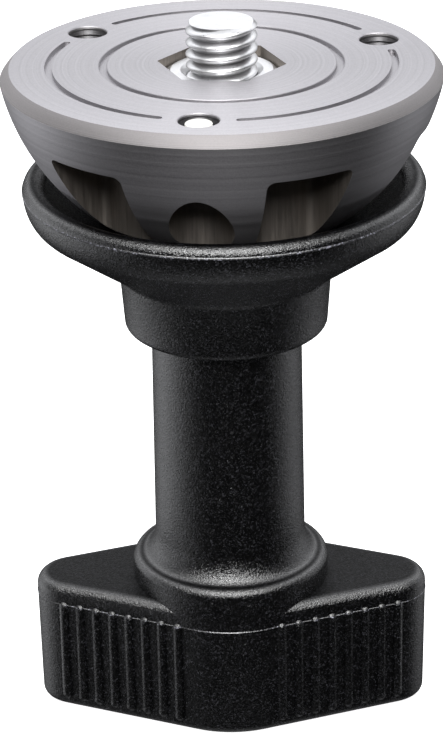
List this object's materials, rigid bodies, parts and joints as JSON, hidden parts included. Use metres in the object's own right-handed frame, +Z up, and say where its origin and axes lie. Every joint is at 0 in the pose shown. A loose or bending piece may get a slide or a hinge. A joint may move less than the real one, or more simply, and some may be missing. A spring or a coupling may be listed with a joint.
{
  "type": "half ball adapter",
  "caption": "Half ball adapter for a tripod bowl: flat-topped ball with a camera stud, clamp cup under it and a long wing knob that draws the cup up on the threaded rod.",
  "frame": {"origin": "centre of the wing knob's flat base, on the axis of the stud; the part stands on this base", "axes": "+Z up along the stud, front towards -Y, the knob's wings along X"},
  "size_m": [0.0588, 0.0588, 0.1006],
  "materials": {
    "anodised_aluminium": "fine turned, grey anodised",
    "plated_steel": "bright zinc plated",
    "spring_steel": "black oxide",
    "white_nylon": "turned, matt",
    "black_nylon": "moulded, fine texture",
    "brass": "turned"
  },
  "bodies": {
    "half_ball": {"half_ball": "anodised_aluminium", "clamp_stud": "plated_steel", "top_nut": "plated_steel", "lower_nut": "plated_steel", "lock_washer": "spring_steel", "stop_washer": "plated_steel", "stop_screw": "plated_steel"},
    "carriage": {"thrust_washer": "plated_steel", "bearing_washer": "white_nylon"},
    "knob": {"wing_knob": "black_nylon", "threaded_insert": "brass", "end_cap": "black_nylon"},
    "cup": {"clamp_cup": "black_nylon", "cup_retaining_ring": "spring_steel"},
    "tip_front": {"screw_tip_front": "white_nylon"},
    "screw_front": {"set_screw_front": "spring_steel"},
    "tip_right": {"screw_tip_right": "white_nylon"},
    "screw_right": {"set_screw_right": "spring_steel"},
    "tip_left": {"screw_tip_left": "white_nylon"},
    "screw_left": {"set_screw_left": "spring_steel"}
  },
  "joints": [
    {"name": "clamp_travel", "type": "slide", "parent": "half_ball", "child": "carriage", "axis": [0, 0, 1], "range_m": [-0.012, 0]},
    {"name": "knob_turn", "type": "hinge", "parent": "carriage", "child": "knob", "pos_m": [0, 0, 0], "axis": [0, 0, 1], "range_deg": [-2720, 0]},
    {"name": "cup_spin", "type": "hinge", "parent": "carriage", "child": "cup", "pos_m": [0, 0, 0.07], "axis": [0, 0, 1], "continuous": true},
    {"name": "tip_front_travel", "type": "slide", "parent": "half_ball", "child": "tip_front", "axis": [0, 0, 1], "range_m": [-0.002, 0.0015]},
    {"name": "screw_front_turn", "type": "hinge", "parent": "tip_front", "child": "screw_front", "pos_m": [-0.00239, -0.02278, 0.0889], "axis": [0, 0, 1], "range_deg": [-901, 676]},
    {"name": "tip_right_travel", "type": "slide", "parent": "half_ball", "child": "tip_right", "axis": [0, 0, 1], "range_m": [-0.001, 0.0027]},
    {"name": "screw_right_turn", "type": "hinge", "parent": "tip_right", "child": "screw_right", "pos_m": [0.02092, 0.00932, 0.0889], "axis": [0, 0, 1], "range_deg": [-451, 1216]},
    {"name": "tip_left_travel", "type": "slide", "parent": "half_ball", "child": "tip_left", "axis": [0, 0, 1], "range_m": [-0.001, 0.0027]},
    {"name": "screw_left_turn", "type": "hinge", "parent": "tip_left", "child": "screw_left", "pos_m": [-0.01853, 0.01346, 0.0889], "axis": [0, 0, 1], "range_deg": [-451, 1216]}
  ],
  "couplings": [
    {"joint": "clamp_travel", "follows": "knob_turn", "m_per_rad": 0.00025266},
    {"joint": "screw_front_turn", "follows": "tip_front_travel", "rad_per_m": 7854},
    {"joint": "screw_right_turn", "follows": "tip_right_travel", "rad_per_m": 7854},
    {"joint": "screw_left_turn", "follows": "tip_left_travel", "rad_per_m": 7854}
  ]
}
